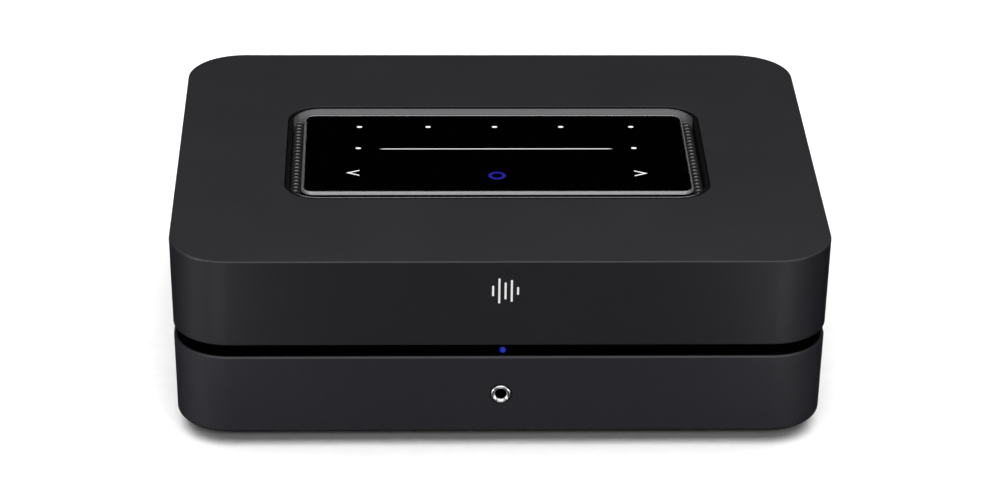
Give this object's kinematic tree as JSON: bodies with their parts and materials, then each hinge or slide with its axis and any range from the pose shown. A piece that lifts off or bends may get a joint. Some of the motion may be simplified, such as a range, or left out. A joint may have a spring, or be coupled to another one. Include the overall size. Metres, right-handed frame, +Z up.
{
  "type": "streaming audio amplifier",
  "caption": "Flat rounded desktop wireless audio amplifier: two shells with a dark slot between, a touch panel in a vented well, headphone socket in front and sockets with speaker posts behind.",
  "frame": {"origin": "on the surface the feet stand on, under the middle of the overall box, speaker posts included", "axes": "+Z up, the front with the headphone socket faces -Y, +X to the right seen from the front"},
  "size_m": [0.22, 0.19, 0.07],
  "materials": {
    "case": "satin charcoal powder coat",
    "black_plastic": "fine moulded texture",
    "panel_glass": "gloss black, back-printed",
    "bezel_metal": "satin anodised, polished chamfer",
    "light_guide": "milky diffuser",
    "status_light": "clear light pipe, lit blue",
    "bright_metal": "bright nickel plate",
    "gold_metal": "gold plate",
    "foot_rubber": "matt",
    "rear_steel": "fine black texture paint",
    "screw_steel": "black zinc",
    "red_plastic": "moulded",
    "white_plastic": "moulded",
    "board": "solder-masked glass laminate",
    "sink_metal": "as extruded",
    "coil_tape": "yellow winding tape",
    "capacitor_sleeve": "shrink sleeve"
  },
  "bodies": {
    "chassis": {"antenna_left": "board", "antenna_right": "board", "case_screw_1": "screw_steel", "case_screw_2": "screw_steel", "case_screw_3": "screw_steel", "case_screw_4": "screw_steel", "ethernet_socket": "bright_metal", "foot_front_left": "foot_rubber", "foot_front_right": "foot_rubber", "foot_rear_left": "foot_rubber", "foot_rear_right": "foot_rubber", "headphone_ring": "bright_metal", "headphone_socket": "black_plastic", "heat_sink": "sink_metal", "icon_light_guide": "light_guide", "line_out_left_core": "white_plastic", "line_out_left_shell": "bright_metal", "line_out_right_core": "red_plastic", "line_out_right_shell": "bright_metal", "lower_case": "case", "main_board": "board", "mains_inlet": "black_plastic", "mains_pin_left": "bright_metal", "mains_pin_right": "bright_metal", "optical_socket": "black_plastic", "panel_bezel": "bezel_metal", "panel_ribbon": "white_plastic", "panel_tray": "black_plastic", "post_stud_left_minus": "gold_metal", "post_stud_left_plus": "gold_metal", "post_stud_right_minus": "gold_metal", "post_stud_right_plus": "gold_metal", "power_board": "board", "power_capacitor_1": "capacitor_sleeve", "power_capacitor_2": "capacitor_sleeve", "rear_panel": "rear_steel", "status_light_pipe": "status_light", "sub_out_core": "black_plastic", "sub_out_shell": "bright_metal", "terminal_block": "black_plastic", "touch_glass": "panel_glass", "touch_sensor_board": "board", "transformer_core": "sink_metal", "transformer_winding": "coil_tape", "upper_case": "case", "usb_socket": "bright_metal", "vent_grille_left": "black_plastic", "vent_grille_right": "black_plastic", "waist_frame": "black_plastic", "well_trim": "bezel_metal", "wireless_module": "bright_metal"},
    "washer_right_minus": {"post_washer_right_minus": "gold_metal"},
    "knob_right_minus": {"post_knob_right_minus": "black_plastic"},
    "washer_right_plus": {"post_washer_right_plus": "gold_metal"},
    "knob_right_plus": {"post_knob_right_plus": "red_plastic"},
    "washer_left_minus": {"post_washer_left_minus": "gold_metal"},
    "knob_left_minus": {"post_knob_left_minus": "black_plastic"},
    "washer_left_plus": {"post_washer_left_plus": "gold_metal"},
    "knob_left_plus": {"post_knob_left_plus": "red_plastic"},
    "optical_flap": {"optical_flap": "black_plastic"}
  },
  "joints": [
    {"name": "slide_right_minus", "type": "slide", "parent": "chassis", "child": "washer_right_minus", "axis": [0, 1, 0], "range_m": [0, 0.0032]},
    {"name": "turn_right_minus", "type": "hinge", "parent": "washer_right_minus", "child": "knob_right_minus", "pos_m": [-0.069, 0.0777, 0.047], "axis": [0, 1, 0], "range_deg": [0, 1440]},
    {"name": "slide_right_plus", "type": "slide", "parent": "chassis", "child": "washer_right_plus", "axis": [0, 1, 0], "range_m": [0, 0.0032]},
    {"name": "turn_right_plus", "type": "hinge", "parent": "washer_right_plus", "child": "knob_right_plus", "pos_m": [-0.05, 0.0777, 0.047], "axis": [0, 1, 0], "range_deg": [0, 1440]},
    {"name": "slide_left_minus", "type": "slide", "parent": "chassis", "child": "washer_left_minus", "axis": [0, 1, 0], "range_m": [0, 0.0032]},
    {"name": "turn_left_minus", "type": "hinge", "parent": "washer_left_minus", "child": "knob_left_minus", "pos_m": [-0.031, 0.0777, 0.047], "axis": [0, 1, 0], "range_deg": [0, 1440]},
    {"name": "slide_left_plus", "type": "slide", "parent": "chassis", "child": "washer_left_plus", "axis": [0, 1, 0], "range_m": [0, 0.0032]},
    {"name": "turn_left_plus", "type": "hinge", "parent": "washer_left_plus", "child": "knob_left_plus", "pos_m": [-0.012, 0.0777, 0.047], "axis": [0, 1, 0], "range_deg": [0, 1440]},
    {"name": "optical_flap_hinge", "type": "hinge", "parent": "chassis", "child": "optical_flap", "pos_m": [-0.012, 0.0708, 0.0243], "axis": [-1, 0, 0], "range_deg": [0, 80], "stiffness_Nm_per_rad": 0.00002, "springref_deg": -20.05}
  ],
  "couplings": [
    {"joint": "turn_right_minus", "follows": "slide_right_minus", "rad_per_m": 7854},
    {"joint": "turn_right_plus", "follows": "slide_right_plus", "rad_per_m": 7854},
    {"joint": "turn_left_minus", "follows": "slide_left_minus", "rad_per_m": 7854},
    {"joint": "turn_left_plus", "follows": "slide_left_plus", "rad_per_m": 7854}
  ]
}
